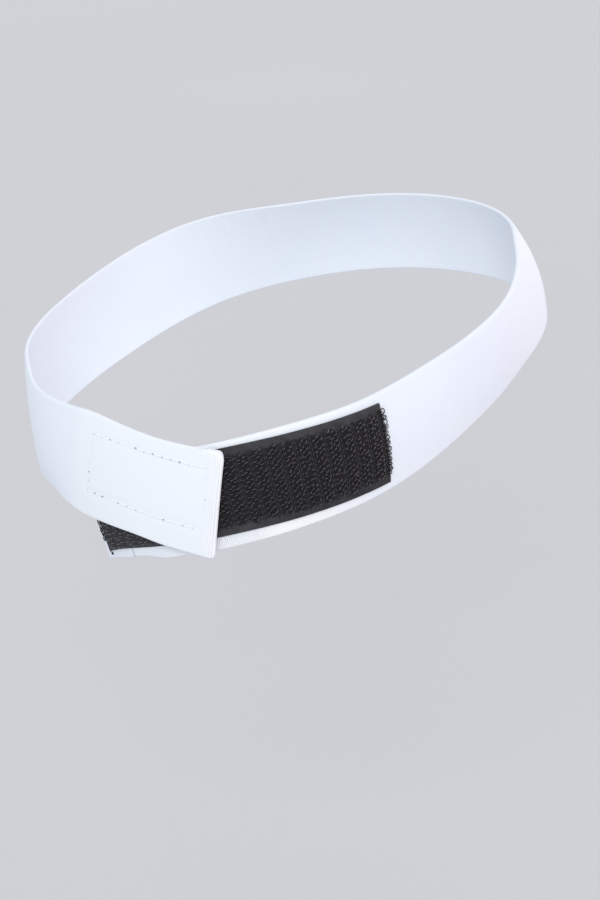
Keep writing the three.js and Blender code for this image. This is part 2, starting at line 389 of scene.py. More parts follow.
def loop_surface(turn, height):
    heading = unit(loop_outline(turn + PROBE_STEP) - loop_outline(turn - PROBE_STEP))
    outward = np.stack([heading[..., 1], -heading[..., 0], 0 * turn], -1)
    lean = np.tan(np.radians(loop_side(turn, 1)))
    over_outline = height + OUTLINE_RISE * np.cos(np.radians(turn))
    outset = lean * over_outline - bow(turn, over_outline)
    point = loop_outline(turn) + outward * outset[..., None]
    point[..., 2] = height
    return point


def climb(turn):
    return TAB_LIFT * smoothstep(turn, CLIMB_START, CLIMB_END)


def strip_place(turn):
    """The strip's middle point at a turn, and its directions along, up its width and outward."""
    height = through_rows(STRIP_ROUTE, turn)
    next_height = through_rows(STRIP_ROUTE, turn + PROBE_STEP)
    middle = loop_surface(turn, height)
    heading = unit(loop_surface(turn + PROBE_STEP, next_height) - middle)
    up = loop_surface(turn, height + PROBE_STEP) - middle
    up = unit(up - heading * (up * heading).sum(-1, keepdims=True))
    return middle, heading, up, np.cross(heading, up)


def walk_route():
    """Turns round the loop and how far along the strip each one is."""
    turn = np.arange(STRIP_ROUTE[0][0], STRIP_ROUTE[-1][0] + ROUTE_STEP / 2, ROUTE_STEP)
    middle, _, _, outward = strip_place(turn)
    line = middle + outward * climb(turn)[:, None]
    along = np.append(0, np.cumsum(np.linalg.norm(np.diff(line, axis=0), axis=1)))
    return turn, along - np.interp(UNDER_END_TURN, turn, along)


WALK_TURN, WALK_ALONG = walk_route()


def turn_at(along):
    return np.interp(along, WALK_ALONG, WALK_TURN)


def worn(along, across, outward):
    """Points of the strip as worn, from flat places along it, across it and out from its inside."""
    turn = turn_at(along)
    middle, _, up, out = strip_place(turn)
    across = np.asarray(across)
    rise = climb(turn) + outward - bow(turn, across)
    return middle + up * across[..., None] + out * rise[..., None]


def near_end_share(away):
    """From 1 at a cut end down to 0 where its slant has run out."""
    return np.maximum(0, 1 - away / SKEW_REACH)


def slant(along, across):
    under_end = UNDER_END_SKEW * near_end_share(along)
    tab_end = TAB_END_SKEW * near_end_share(TAB_TIP - along)
    return along + across * (under_end + tab_end)


def fold_hem(along, outward):
    """Places along and outward once the strip past the bend is folded back inside the tab."""
    past = along - HEM_BEND_START
    radius = outward + PIECE_GAP / 2
    angle = math.pi * np.clip(past / HEM_BEND_LENGTH, 0, 1)
    straight = np.where(past < 0, past, np.minimum(0, HEM_BEND_LENGTH - past))
    folded = HEM_BEND_START + straight + radius * np.sin(angle)
    return folded, radius * np.cos(angle) - PIECE_GAP / 2


def round_corner(along, across):
    radius = np.where(across > 0, TAB_TOP_CORNER, TAB_BOTTOM_CORNER)
    inside = np.clip(TAB_TIP - along, 0, radius)
    return across - np.sign(across) * (radius - np.sqrt(radius**2 - (radius - inside) ** 2))


def curl(along, across):
    away = np.hypot(TAB_TIP - along, across + HALF_BAND)
    return CORNER_CURL * np.maximum(0, 1 - away / CURL_REACH) ** 2


def hook_tape_place(along, across):
    """Where the bowed hook tape's points lie on the strip."""
    placed = across + through_rows(HOOK_TAPE_ROUTE, along)
    far_skew = HOOK_TAPE_FAR_SKEW * near_end_share(HOOK_TAPE_END - along)
    near_skew = HOOK_TAPE_NEAR_SKEW * near_end_share(along - HOOK_TAPE_START)
    return along + (far_skew + near_skew) * placed, placed


def waver(along, across):
    """Across places with the strip's edges raised or lowered a little."""
    rows = np.array(EDGE_WAVER)
    upper = through_rows(rows[:, [0, 1]], along) * smoothstep(across, WAVER_FROM, HALF_BAND)
    lower = through_rows(rows[:, [0, 2]], along) * smoothstep(-across, WAVER_FROM, HALF_BAND)
    return across + upper + lower


def lower_tuck(along, across):
    share = smoothstep(TUCK_REACH - np.abs(along - TUCK_MIDDLE), 0, TUCK_REACH)
    return LOWER_TUCK * share * np.clip(-across / HALF_BAND, 0, 1) ** 3


def bent_edge(along, across):
    """How far the tab's top edge bends back inward near its corner."""
    share = np.clip(1 - (TAB_TIP - along) / BENT_LENGTH, 0, 1)
    return BENT_SLOPE * np.maximum(0, across - HALF_BAND + BENT_HEIGHT * share)


class Term:
    """A shader value that can stand in a sum, such as 1 - mask * 0.3."""

    def __init__(self, finish, socket):
        self.finish = finish
        self.socket = socket

    def math(self, operation, *values):
        inputs = dict(enumerate(values))
        return self.finish.node("ShaderNodeMath", {"operation": operation}, inputs)

    def __add__(self, other):
        return self.math("ADD", self, other)

    def __radd__(self, other):
        return self.math("ADD", other, self)

    def __sub__(self, other):
        return self.math("SUBTRACT", self, other)

    def __rsub__(self, other):
        return self.math("SUBTRACT", other, self)

    def __mul__(self, other):
        return self.math("MULTIPLY", self, other)

    def __rmul__(self, other):
        return self.math("MULTIPLY", other, self)

    def __pow__(self, other):
        return self.math("POWER", self, other)

    def __rpow__(self, other):
        return self.math("POWER", other, self)

    def size(self):
        return self.math("ABSOLUTE", self)

    def most(self, other):
        return self.math("MAXIMUM", self, other)

    def ripple(self, pitch):
        """Wave between 0 and 1, once in each pitch."""
        return self.math("SINE", self * (2 * math.pi / pitch)) * 0.5 + 0.5

    def rise(self, low, high):
        """Smooth step from 0 at low to 1 at high."""
        settings = {"interpolation_type": "SMOOTHSTEP"}
        inputs = {"Value": self, "From Min": low, "From Max": high}
        return self.finish.node("ShaderNodeMapRange", settings, inputs)


class Finish:
    """One material and the nodes it is made of."""

    def __init__(self, name):
        self.material = bpy.data.materials.new(name)
        self.material.use_nodes = True
        self.tree = self.material.node_tree
        self.shader = self.tree.nodes["Principled BSDF"]

    def node(self, kind, settings=None, inputs=None, output=0):
        made = self.tree.nodes.new(kind)
        for key, value in (settings or {}).items():
            setattr(made, key, value)
        for key, value in (inputs or {}).items():
            self.feed(made.inputs[key], value)
        return Term(self, made.outputs[output])

    def feed(self, socket, value):
        if isinstance(value, Term):
            self.tree.links.new(value.socket, socket)
        else:
            socket.default_value = value

    def measure(self, name):
        """A flat measure of the piece, in millimetres, kept on its mesh."""
        return self.node("ShaderNodeAttribute", {"attribute_name": name}, output="Fac")

    def place(self):
        return self.node("ShaderNodeTexCoord", output="Object")

    def noise(self, scale, detail):
        inputs = {"Vector": self.place(), "Scale": scale, "Detail": detail}
        return self.node("ShaderNodeTexNoise", inputs=inputs)

    def mix(self, factor, first, second):
        settings = {"data_type": "RGBA"}
        inputs = {"Factor": factor, 6: first, 7: second}
        return self.node("ShaderNodeMix", settings, inputs, output=2)

    def bump(self, height, depth_mm):
        inputs = {"Strength": 1.0, "Distance": depth_mm * MM, "Height": height}
        return self.node("ShaderNodeBump", inputs=inputs)

    def set(self, **sockets):
        for name, value in sockets.items():
            self.feed(self.shader.inputs[name.replace("_", " ")], value)
        return self.material


def rgb(red, green, blue):
    return (red, green, blue, 1.0)


# Colours of the elastic, some of them painted light and painted shade
ELASTIC_WHITE = rgb(0.875, 0.92, 0.965)
# painted light: the margins beside the hook tape and the hem are coloured whiter than the rest of the
# elastic
PAINTED_LIGHT_WHITE = rgb(0.98, 0.985, 0.99)
# painted shade for the rib grooves and the hem's rib grooves
GROOVE_SHADE_GREY = rgb(0.62, 0.67, 0.78)
# painted shade before the tab and the random cloud blotches both mix towards this blue
SHADE_AND_CLOUD_BLUE = rgb(0.77, 0.83, 0.94)
# painted shade for the elastic's rounded edges
EDGE_SHADE_GREY = rgb(0.60, 0.64, 0.72)
# painted shade for the crease and the bend line
CREASE_SHADE_GREY = rgb(0.42, 0.46, 0.58)
SHEEN_WHITE = rgb(0.95, 0.97, 1.0)

# Colours of the tapes and the floor
GROUND_BLACK = rgb(0.0170, 0.0150, 0.0170)
GROUND_GREY = rgb(0.068, 0.068, 0.075)
HOOK_BLACK = rgb(0.033, 0.029, 0.033)
HOOK_GREY = rgb(0.078, 0.071, 0.078)
# painted light: the hooks near the tape's beginning are coloured greyer
PAINTED_LIGHT_HOOK_GREY = rgb(0.135, 0.131, 0.143)
NAP_SHADE = rgb(0.72, 0.75, 0.81)
NAP_WHITE = rgb(0.86, 0.90, 0.96)
FLOOR_DEEP = rgb(0.545, 0.555, 0.57)
FLOOR_PALE = rgb(0.575, 0.585, 0.60)

# Threads. Columns: name, pale, deep
THREADS = (
    ("white_thread", rgb(0.90, 0.93, 0.97), rgb(0.80, 0.85, 0.92)),
    ("black_thread", rgb(0.022, 0.022, 0.024), rgb(0.010, 0.010, 0.011)),
    ("black_ground_cord", rgb(0.080, 0.074, 0.081), rgb(0.034, 0.031, 0.035)),
    ("needle_hole_shade", rgb(0.46, 0.49, 0.54), rgb(0.30, 0.32, 0.37)),
)


def elastic_finish():
    """White woven elastic: ribs across the width, rubber cords along it, smooth selvedges, with painted
    shade in the rib grooves, crease, bend line, edges and before the tab, and painted light on the margins
    and hem.
    """
    finish = Finish("white_ribbed_elastic")
    along = finish.measure("along")
    across = finish.measure("across")
    below = 0 - across
    to_tip = TAB_TIP - along
    fuzz = finish.noise(2600.0, detail=2.0)
    cloud = finish.noise(45.0, detail=3.0).rise(0.35, 0.75)
    wander = finish.noise(420.0, detail=3.0) * RIB_WANDER
    rib = (along + wander).ripple(RIB_PITCH)
    cord = across.ripple(CORD_PITCH)

    # the hem's mask carries painted light and the painted shade of its rib grooves
    hem = to_tip.rise(HEM_RIBS_REACH, HEM_RIBS_REACH - HEM_PAINT_BLEND)
    hem = hem * (0 - to_tip).rise(*HEM_FOLD_BLEND)
    hem_rib = to_tip.ripple(HEM_RIB_PITCH)
    low_margin = below.rise(*LOW_MARGIN)
    # painted light on the margins beside the hook tape, fading out towards both ends of the tape
    painted_light_margins = low_margin.most(across.rise(*TOP_MARGIN) * 0.5)
    painted_light_margins = painted_light_margins * along.rise(*PAINTED_LIGHT_NEAR) * along.rise(*PAINTED_LIGHT_FAR)
    by_tab = low_margin * (along - RIBBED_AT).size().rise(*RIBBED_REACH)
    # painted shade in the rib grooves, stronger in the low margin by the tab and at the hem
    groove_shade = (1 - rib) ** 4 * (0.08 + by_tab * 0.55) + hem * (1 - hem_rib) ** 2 * 0.55
    # painted shade over the strip before the tab, leaving out the margins
    painted_shade = along.rise(*SHADE_BEFORE_TAB) * (1 - painted_light_margins)
    # mask of the rounded edges that get painted shade
    selvedge = across.size().rise(*EDGE_SHADE_AT)
    # painted shade along the crease and the tab's bend line
    crease = (along - CREASE_AT).size().rise(*CREASE_WIDTH) * below.rise(*CREASE_ACROSS)
    bent = (1 - to_tip * (1 / BENT_LENGTH)).most(0)
    bend = (across - HALF_BAND + bent * BENT_HEIGHT).size().rise(*BEND_LINE)
    bend = bend * bent.rise(*BEND_LINE_STARTS) * to_tip.rise(*BEND_LINE_ENDS)

    # painted light: margins and hem mixed towards a whiter colour
    colour = finish.mix(painted_light_margins.most(hem), ELASTIC_WHITE, PAINTED_LIGHT_WHITE)
    # painted shade: the grooves are mixed towards a bluish grey
    colour = finish.mix(groove_shade + fuzz * 0.1, colour, GROOVE_SHADE_GREY)
    # painted shade before the tab, plus random cloud blotches
    colour = finish.mix(painted_shade * 0.35 + cloud * 0.15, colour, SHADE_AND_CLOUD_BLUE)
    # painted shade: the edges are mixed towards a bluish grey
    colour = finish.mix(selvedge * 0.35, colour, EDGE_SHADE_GREY)
    # painted shade: crease and bend line mixed towards a dark bluish grey
    colour = finish.mix(crease * 0.6 + bend * 0.15, colour, CREASE_SHADE_GREY)
    weave = (rib * 0.8 + cord * rib * 0.2) * (0.35 + by_tab * 0.65)
    height = weave + fuzz * 0.3 - crease * 0.8 + hem * hem_rib * 0.8
    return finish.set(
        Base_Color=colour,
        Roughness=0.78 + fuzz * 0.12,
        Normal=finish.bump(height, depth_mm=0.09),
        Sheen_Weight=0.1,
        Sheen_Roughness=0.5,
        Sheen_Tint=SHEEN_WHITE,
        Specular_IOR_Level=0.3,
    )


def hook_base_finish():
    """Black woven tape: dark between the hooks, its selvedges ribbed and greyer, and greyer near the tape's
    beginning by painted light.
    """
    finish = Finish("black_hook_tape_ground")
    along = finish.measure("along")
    across = finish.measure("across")
    lower_half = (0 - across).rise(0, 1)
    near_end = along.rise(LOW_HOOKS_FROM, LOW_HOOKS_FULL)
    rib = along.ripple(RIB_PITCH)
    thread = across.ripple(GROUND_THREAD_PITCH)
    fuzz = finish.noise(1800.0, detail=3.0)
    blotch = finish.noise(260.0, detail=3.0).rise(0.3, 0.7)
    uneven = (finish.noise(600.0, detail=3.0) - 0.5) * TAPE_SELVEDGE_UNEVEN
    from_middle = across.size() - near_end * lower_half * LOW_HOOKS + uneven
    selvedge = from_middle.rise(*TAPE_SELVEDGE)
    darker = lower_half * along.rise(*LOW_SELVEDGE_DARK) * 0.22
    selvedge_tone = selvedge * (0.24 + rib * 0.5 + blotch * 0.35 - darker)
    # painted light: the ground is greyer near the tape's beginning
    tone = selvedge_tone + fuzz * 0.15 + near_end * 0.62
    return finish.set(
        Base_Color=finish.mix(tone, GROUND_BLACK, GROUND_GREY),
        Roughness=0.66 + fuzz * 0.2,
        Normal=finish.bump(rib * 0.7 + thread * 0.3 + fuzz * 0.3, depth_mm=0.12),
        Specular_IOR_Level=0.12,
    )


def hook_finish():
    """Black nylon filament of the hooks, slightly shiny, and greyer near the tape's beginning by painted
    light.
    """
    finish = Finish("black_nylon_hooks")
    tone = finish.noise(900.0, detail=2.0)
    near_end = finish.measure("along").rise(LOW_HOOKS_FROM, LOW_HOOKS_FULL)
    colour = finish.mix(tone.rise(0.35, 0.7), HOOK_BLACK, HOOK_GREY)
    return finish.set(
        # painted light near the tape's beginning
        Base_Color=finish.mix(near_end * 0.8, colour, PAINTED_LIGHT_HOOK_GREY),
        Roughness=0.24 + tone * 0.2 + near_end * 0.4,
        Normal=finish.bump(finish.noise(6000.0, detail=2.0), depth_mm=0.02),
        Specular_IOR_Level=0.8,
    )


def loop_finish():
    """White napped loop tape: a dense fuzz of fine loops."""
    finish = Finish("white_loop_nap")
    nap = finish.noise(2200.0, detail=4.0)
    clump = finish.noise(500.0, detail=3.0)
    tone = nap * 0.6 + clump * 0.4
    return finish.set(
        Base_Color=finish.mix(tone.rise(0.3, 0.7), NAP_SHADE, NAP_WHITE),
        Roughness=0.92 + nap * 0.06,
        Normal=finish.bump(tone, depth_mm=0.5),
        Sheen_Weight=0.4,
        Sheen_Roughness=0.6,
        Specular_IOR_Level=0.2,
    )


def thread_finish(name, pale, deep):
    """Twisted sewing thread."""
    finish = Finish(name)
    twist = finish.node(
        "ShaderNodeTexWave",
        {"wave_type": "BANDS", "bands_direction": "DIAGONAL"},
        {"Vector": finish.place(), "Scale": 900.0},
    )
    fibre = finish.noise(5000.0, detail=2.0)
    return finish.set(
        Base_Color=finish.mix(twist * 0.6 + fibre * 0.3, pale, deep),
        Roughness=0.55 + fibre * 0.25,
        Normal=finish.bump(twist + fibre * 0.4, depth_mm=0.05),
        Specular_IOR_Level=0.35,
    )


def floor_finish():
    finish = Finish("pale_floor")
    cloud = finish.noise(1.4, detail=3.0)
    return finish.set(
        Base_Color=finish.mix(cloud, FLOOR_DEEP, FLOOR_PALE),
        Roughness=0.75 + cloud * 0.1,
        Normal=finish.bump(finish.noise(300.0, detail=2.0), depth_mm=0.05),
        Specular_IOR_Level=0.2,
    )


def make_piece(name, points, faces, finish, slot=None, measures=None):
    """A mesh object from millimetre points, with flat measures kept on its points."""
    mesh = bpy.data.meshes.new(name)
    mesh.from_pydata((np.asarray(points) * MM).tolist(), [], faces)
    for measure, values in (measures or {}).items():
        kept = mesh.attributes.new(measure, "FLOAT", "POINT")
        kept.data.foreach_set("value", np.asarray(values, np.float32))
    mesh.shade_smooth()
    mesh.set_sharp_from_angle(angle=SHARP_ANGLE)
    mesh.materials.append(finish)
    piece = bpy.data.objects.new(name, mesh)
    bpy.context.scene.collection.objects.link(piece)
    if slot:
        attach(piece, "root")
    return piece


def ring_faces(stations, ring):
    """Side faces between rings of points, and then a face on each end."""
    i, j = np.meshgrid(np.arange(stations - 1), np.arange(ring), indexing="ij")
    k = (j + 1) % ring
    sides = np.stack([i * ring + j, i * ring + k, (i + 1) * ring + k, (i + 1) * ring + j], -1)
    first = list(range(ring))[::-1]
    last = list(range((stations - 1) * ring, stations * ring))
    return sides.reshape(-1, 4).tolist() + [first, last]


def strip_ring(width, thickness, radius, columns, edge_steps):
    """A flat strip's section: places across and outward, from the lower right round."""
    flat = width / 2 - radius
    quarter = np.linspace(0, math.pi / 2, edge_steps + 1)
    face = np.linspace(flat, -flat, columns + 1)[1:-1]
    arc_x = radius * np.sin(quarter)
    arc_y = radius * (1 - np.cos(quarter))
    across = [flat + arc_x, flat + arc_x[::-1], face, -flat - arc_x, -flat - arc_x[::-1], -face]
    outward = [
        arc_y, thickness - arc_y[::-1], np.full(len(face), thickness),
        thickness - arc_y, arc_y[::-1], np.zeros(len(face)),
    ]
    return np.concatenate(across), np.concatenate(outward)


def along_strip(stations, section):
    """Flat along, across and outward places of a section repeated at every station."""
    across, outward = section
    along = np.repeat(stations, len(across))
    return along, np.tile(across, len(stations)), np.tile(outward, len(stations))


def tubes(paths, side_way, radius, sides):
    """Joined round threads along many paths with the same number of points."""
    paths = np.asarray(paths)
    count, steps, _ = paths.shape
    tangent = unit(np.gradient(paths, axis=1))
    side = np.broadcast_to(np.asarray(side_way)[:, None, :], paths.shape)
    lift = unit(np.cross(tangent, side))
    side = np.cross(lift, tangent)
    angle = np.arange(sides) * 2 * math.pi / sides
    radius = np.broadcast_to(radius, (count, steps))[..., None, None]
    spoke = side[:, :, None] * np.cos(angle)[:, None] + lift[:, :, None] * np.sin(angle)[:, None]
    points = (paths[:, :, None] + spoke * radius).reshape(-1, 3)
    one_thread = ring_faces(steps, sides)
    side_faces = np.array(one_thread[:-2])
    end_faces = np.array(one_thread[-2:])
    faces = []
    for first in range(0, count * steps * sides, steps * sides):
        faces += (side_faces + first).tolist()
        faces += (end_faces + first).tolist()
    return points, faces


def joined(bodies):
    """One set of points and faces from several."""
    points, faces, count = [], [], 0
    for body_points, body_faces in bodies:
        points.append(body_points)
        faces += [[corner + count for corner in face] for face in body_faces]
        count += len(body_points)
    return np.concatenate(points), faces


def box_distance(along, across):
    """Distance from the stitched box's four sides."""
    corners = np.array(STITCH_BOX)
    nearest = np.full(np.shape(along), np.inf)
    for start, end in zip(corners, np.roll(corners, -1, axis=0)):
        way = end - start
        share = ((along - start[0]) * way[0] + (across - start[1]) * way[1]) / (way @ way)
        share = np.clip(share, 0, 1)
        gap = np.hypot(along - start[0] - share * way[0], across - start[1] - share * way[1])
        nearest = np.minimum(nearest, gap)
    return nearest


def hump(distance, width):
    """Rounded rise, 1 at no distance and fading over the width."""
    return np.exp(-((distance / width) ** 2))


def band_relief(along, across):
    """Fine rise and fall of the elastic's outer face, in millimetres."""
    to_tip = TAB_TIP - along
    stitch_pull = -STITCH_SINK * hump(box_distance(along, across), STITCH_PULL_REACH)
    step_start, step_end = (HEM_DEPTH + blend for blend in HEM_STEP_BLEND)
    fade_start, fade_end = (TAB_TIP - away for away in HEM_STEP_FADE)
    hem_step = -HEM_STEP * smoothstep(to_tip, step_start, step_end)
    hem_step = hem_step * smoothstep(along, fade_start, fade_end)
    edge_bead = EDGE_BEAD * hump(np.abs(across) - EDGE_BEAD_AT, EDGE_BEAD_WIDTH)
    hem_ribs = HEM_RIB_HEIGHT * np.sin(to_tip * 2 * math.pi / HEM_RIB_PITCH)
    hem_ribs = hem_ribs * smoothstep(-to_tip, -HEM_RIBS_REACH, HEM_RIBS_BLEND - HEM_RIBS_REACH)
    return stitch_pull + hem_step + edge_bead + hem_ribs


def elastic_point(station, across, outward):
    """Worn points of the elastic from its flat places, folded, slanted and with its relief."""
    along, depth = fold_hem(station, outward)
    drawn = round_corner(along, across)
    placed = slant(along, drawn)
    outer = (outward / BAND_THICKNESS) * smoothstep(HEM_BEND_START - station, 0, RELIEF_BLEND)
    depth = depth + curl(along, drawn) + outer * band_relief(placed, drawn)
    depth = depth - lower_tuck(placed, drawn) - bent_edge(along, drawn)
    ragged = RAGGED_CUT * np.sin(drawn * 2.3 + np.sin(drawn * 5.1))
    ragged = ragged * np.maximum(0, 1 - station / RAGGED_REACH)
    return worn(placed + ragged, waver(placed, drawn), depth)


def make_elastic_band(finish):
    bend_end = HEM_BEND_START + HEM_BEND_LENGTH
    hem_end = bend_end + HEM_DEPTH - (TAB_TIP - HEM_BEND_START)
    tab_start = STITCH_BOX[0][0] - STITCHES_LEAD
    hem_start = TAB_TIP - HEM_LEAD
    stations = np.concatenate([
        np.arange(0, tab_start, STRIP_STEP),
        np.arange(tab_start, hem_start, TAB_STEP),
        np.arange(hem_start, HEM_BEND_START - BEFORE_BEND, HEM_STATION_STEP),
        np.linspace(HEM_BEND_START, bend_end, HEM_BEND_POINTS),
        np.linspace(bend_end, hem_end, HEM_INSIDE_POINTS)[1:],
    ])
    section = strip_ring(BAND_WIDTH, BAND_THICKNESS, EDGE_RADIUS, columns=44, edge_steps=4)
    along, across, outward = along_strip(stations, section)
    points = elastic_point(along, across, outward)
    faces = ring_faces(len(stations), len(section[0]))
    measures = {"along": along, "across": across}
    return make_piece("elastic_strip", points, faces, finish, "elastic", measures)


def make_hook_ground(finish):
    stations = np.arange(HOOK_TAPE_START, HOOK_TAPE_END, TAPE_STEP)
    stations[-1] = HOOK_TAPE_END
    thickness = HOOK_BASE + TAPE_SEWN_IN
    section = strip_ring(HOOK_TAPE_WIDTH, thickness, TAPE_EDGE_RADIUS, columns=30, edge_steps=3)
    along, across, outward = along_strip(stations, section)
    placed_along, placed = hook_tape_place(along, across)
    points = worn(placed_along, placed, HOOK_TAPE_FLOOR - TAPE_SEWN_IN + outward)
    faces = ring_faces(len(stations), len(section[0]))
    measures = {"along": along, "across": across}
    return make_piece("hook_tape_ground", points, faces, finish, "hook_tape", measures)


def hook_places():
    """Flat places of the hooks, each column half a row off the one before it."""
    lanes = np.arange(LAST_LANE + LANE_PITCH, HOOK_TAPE_START - LANE_PITCH, -LANE_PITCH)
    rows = np.arange(-HALF_FIELD - LOW_HOOKS, HALF_FIELD + ROWS_PAST_TOP, ROW_PITCH)
    lane, column, row = np.meshgrid(lanes, np.arange(COLUMNS_TO_A_LANE), rows, indexing="ij")
    along = lane + COLUMN_PITCH * column
    across = row + ROW_PITCH / 2 * (column % 2)
    limit = HALF_FIELD + RANDOM.uniform(*FIELD_RAGGED, along.shape)
    low_hooks = LOW_HOOKS * smoothstep(-along, -LOW_HOOKS_FROM, -LOW_HOOKS_FULL)
    kept = (across < limit + FIELD_PAST_TOP) & (-across < limit + low_hooks)
    kept &= (along > HOOK_TAPE_START + FIELD_NEAR_GAP) & (along < HOOK_TAPE_END - FIELD_FAR_GAP)
    kept &= RANDOM.random(along.shape) > HOOKS_MISSING
    return along[kept], across[kept]


def hook_outline():
    """Reach and height along one hook, from the foot of its leg round its bend."""
    sweep = np.radians(np.linspace(*HOOK_BEND_SWEEP, HOOK_BEND_POINTS))
    round_bend = np.stack([np.cos(sweep), np.sin(sweep)], -1)
    bend = np.array(HOOK_BEND_MIDDLE) + np.array(HOOK_BEND_RADII) * round_bend
    return np.concatenate([HOOK_LEG, bend]).T


def make_hooks(finish):
    """Bent nylon hooks, each with the stub of its loop's cut leg."""
    along, across = hook_places()
    count = len(along)
    along = along + shuffle(HOOK_UNEVEN["along"], count)
    across = across + shuffle(HOOK_UNEVEN["across"], count)
    facing = np.where(RANDOM.random(count) < HOOKS_ONE_WAY, 1.0, -1.0)
    twist = HOOK_TWIST * smoothstep(along, TWIST_START, TWIST_END)
    twist = (twist + shuffle(HOOK_UNEVEN["twist"], count))[:, None]
    size = (HOOK_SIZE + shuffle(HOOK_UNEVEN["size"], count))[:, None]
    sway = shuffle(HOOK_UNEVEN["sway"], count)[:, None]
    _, heading, up, _ = strip_place(turn_at(along))
    side = up * np.cos(twist) - heading * np.sin(twist)
    bodies, measures = [], []
    for reach, height in (hook_outline(), np.transpose(HOOK_STUB)):
        reach = facing[:, None] * size * reach
        lean = sway * height
        path_along = along[:, None] + reach * np.cos(twist) - lean * np.sin(twist)
        path_across = across[:, None] + reach * np.sin(twist) + lean * np.cos(twist)
        placed_along, placed = hook_tape_place(path_along, path_across)
        paths = worn(placed_along, placed, HOOK_TAPE_FLOOR + HOOK_BASE + size * height)
        bodies.append(tubes(paths, side, HOOK_WIRE, WIRE_SIDES))
        measures.append(np.repeat(along, len(height) * WIRE_SIDES))
    points, faces = joined(bodies)
    measures = {"along": np.concatenate(measures)}
    return make_piece("nylon_hooks", points, faces, finish, "hook_tape", measures)


def make_lane_cords(finish):
    """Cords of the ground that show in the lanes, each dipping under at every row of hooks."""
    lane_width = LANE_PITCH - COLUMN_PITCH * (COLUMNS_TO_A_LANE - 1)
    lanes = np.arange(LAST_LANE + LANE_PITCH, HOOK_TAPE_START + LANE_PITCH, -LANE_PITCH)
    lanes = lanes - lane_width / 2
    across = np.arange(-HALF_FIELD, HALF_FIELD, ROW_PITCH / LANE_CORD_STEPS)
    along = (lanes[:, None] + np.array(LANE_CORDS_AT)).reshape(-1, 1)
    phase = RANDOM.uniform(0, 2 * math.pi, along.shape)
    wave = LANE_CORD_WAVE * np.sin(across * 2 * math.pi / ROW_PITCH + phase)
    sink = LANE_CORD_SEAT + LANE_CORD_SINK * smoothstep(-along, -LANE_SINK_FROM, -LANE_SINK_FULL)
    along = along + shuffle(LANE_CORD_UNEVEN, wave.shape)
    placed_along, placed = hook_tape_place(along, across + 0 * along)
    paths = worn(placed_along, placed, HOOK_TAPE_FLOOR + HOOK_BASE + wave - sink)
    _, heading, _, _ = strip_place(turn_at(along[:, 0]))
    points, faces = tubes(paths, heading, LANE_CORD, WIRE_SIDES)
    return make_piece("lane_cords", points, faces, finish, "hook_tape")


def make_end_rings(finish):
    """Rings of the cut columns' thread, lying out over the tape's two ends."""
    turns = np.radians(np.linspace(*RING_SWEEP, RING_POINTS))
    bodies = []
    for end, way, spacing, size, overhang, wire in END_RINGS:
        middles = np.arange(HALF_FIELD - RINGS_TOP_GAP, RINGS_LOW_GAP - HALF_FIELD, -spacing)[:, None]
        count = middles.shape
        across = middles + shuffle(RING_UNEVEN["across"], count)
        radius = size * (SMALLEST_RING + (1 - SMALLEST_RING) * smoothstep(across, *RINGS_GROW))
        radius = radius * (1 + shuffle(RING_UNEVEN["size"], count))
        reach = overhang + shuffle(RING_UNEVEN["overhang"], count) + radius * np.cos(turns)
        width = radius * np.sin(turns)
        rise = RING_LIFT - RING_DROP * reach + shuffle(RING_UNEVEN["tilt"], count) * width
        rise = HOOK_TAPE_FLOOR + HOOK_BASE + np.maximum(rise, RING_LOWEST)
        placed_along, placed = hook_tape_place(end + way * reach, across + width)
        _, _, _, out = strip_place(turn_at(np.full(len(middles), end)))
        thickness = wire * (1 + shuffle(RING_UNEVEN["wire"], count))
        bodies.append(tubes(worn(placed_along, placed, rise), out, thickness, WIRE_SIDES))
    points, faces = joined(bodies)
    return make_piece("end_rings", points, faces, finish, "hook_tape")


def make_black_thread_end(finish):
    """The tape's sewing thread, coming out at its lower corner and ending in a small knot."""
    along, across, outward, thickness = np.array(THREAD_END).T[:, None]
    _, heading, _, _ = strip_place(turn_at(along[:, 0]))
    points, faces = tubes(worn(along, across, outward), heading, thickness, THREAD_SIDES)
    return make_piece("tape_thread_end", points, faces, finish, "hook_tape")


def make_loop_patch(finish):
    end = TAB_TIP - HEM_DEPTH - PIECE_GAP
    stations = np.linspace(end - LOOP_TAPE_LENGTH, end, LOOP_TAPE_POINTS)
    section = strip_ring(LOOP_TAPE_WIDTH, LOOP_TAPE_THICKNESS, EDGE_RADIUS, columns=36, edge_steps=4)
    along, across, outward = along_strip(stations, section)
    nap = LOOP_NAP * np.sin(along * 3.1 + 2 * np.sin(across * 1.7)) * np.sin(across * 2.7)
    depth = outward + nap * (1 - outward / LOOP_TAPE_THICKNESS)
    placed = across + LOOP_TAPE_RISE
    depth = depth - LOOP_TAPE_THICKNESS - PIECE_GAP / 2
    points = worn(slant(along, placed), placed, depth)
    faces = ring_faces(len(stations), len(section[0]))
    return make_piece("loop_tape", points, faces, finish, "loop_tape")


def stitch_line():
    """Each stitch's two needle holes round the stitched box, and how open the first one is."""
    box = np.array(STITCH_BOX)
    starts, ends, openness = [], [], []
    for start, end, open_shares in zip(box, np.roll(box, -1, axis=0), NEEDLE_HOLES):
        count = len(open_shares)
        holes = start + (end - start) * np.linspace(0, 1, count + 1)[:, None]
        holes[1:-1] += RANDOM.normal(0, HOLES_UNEVEN, (count - 1, 2))
        starts.append(holes[:-1])
        ends.append(holes[1:])
        openness.append(open_shares)
    return np.concatenate(starts), np.concatenate(ends), np.concatenate(openness)


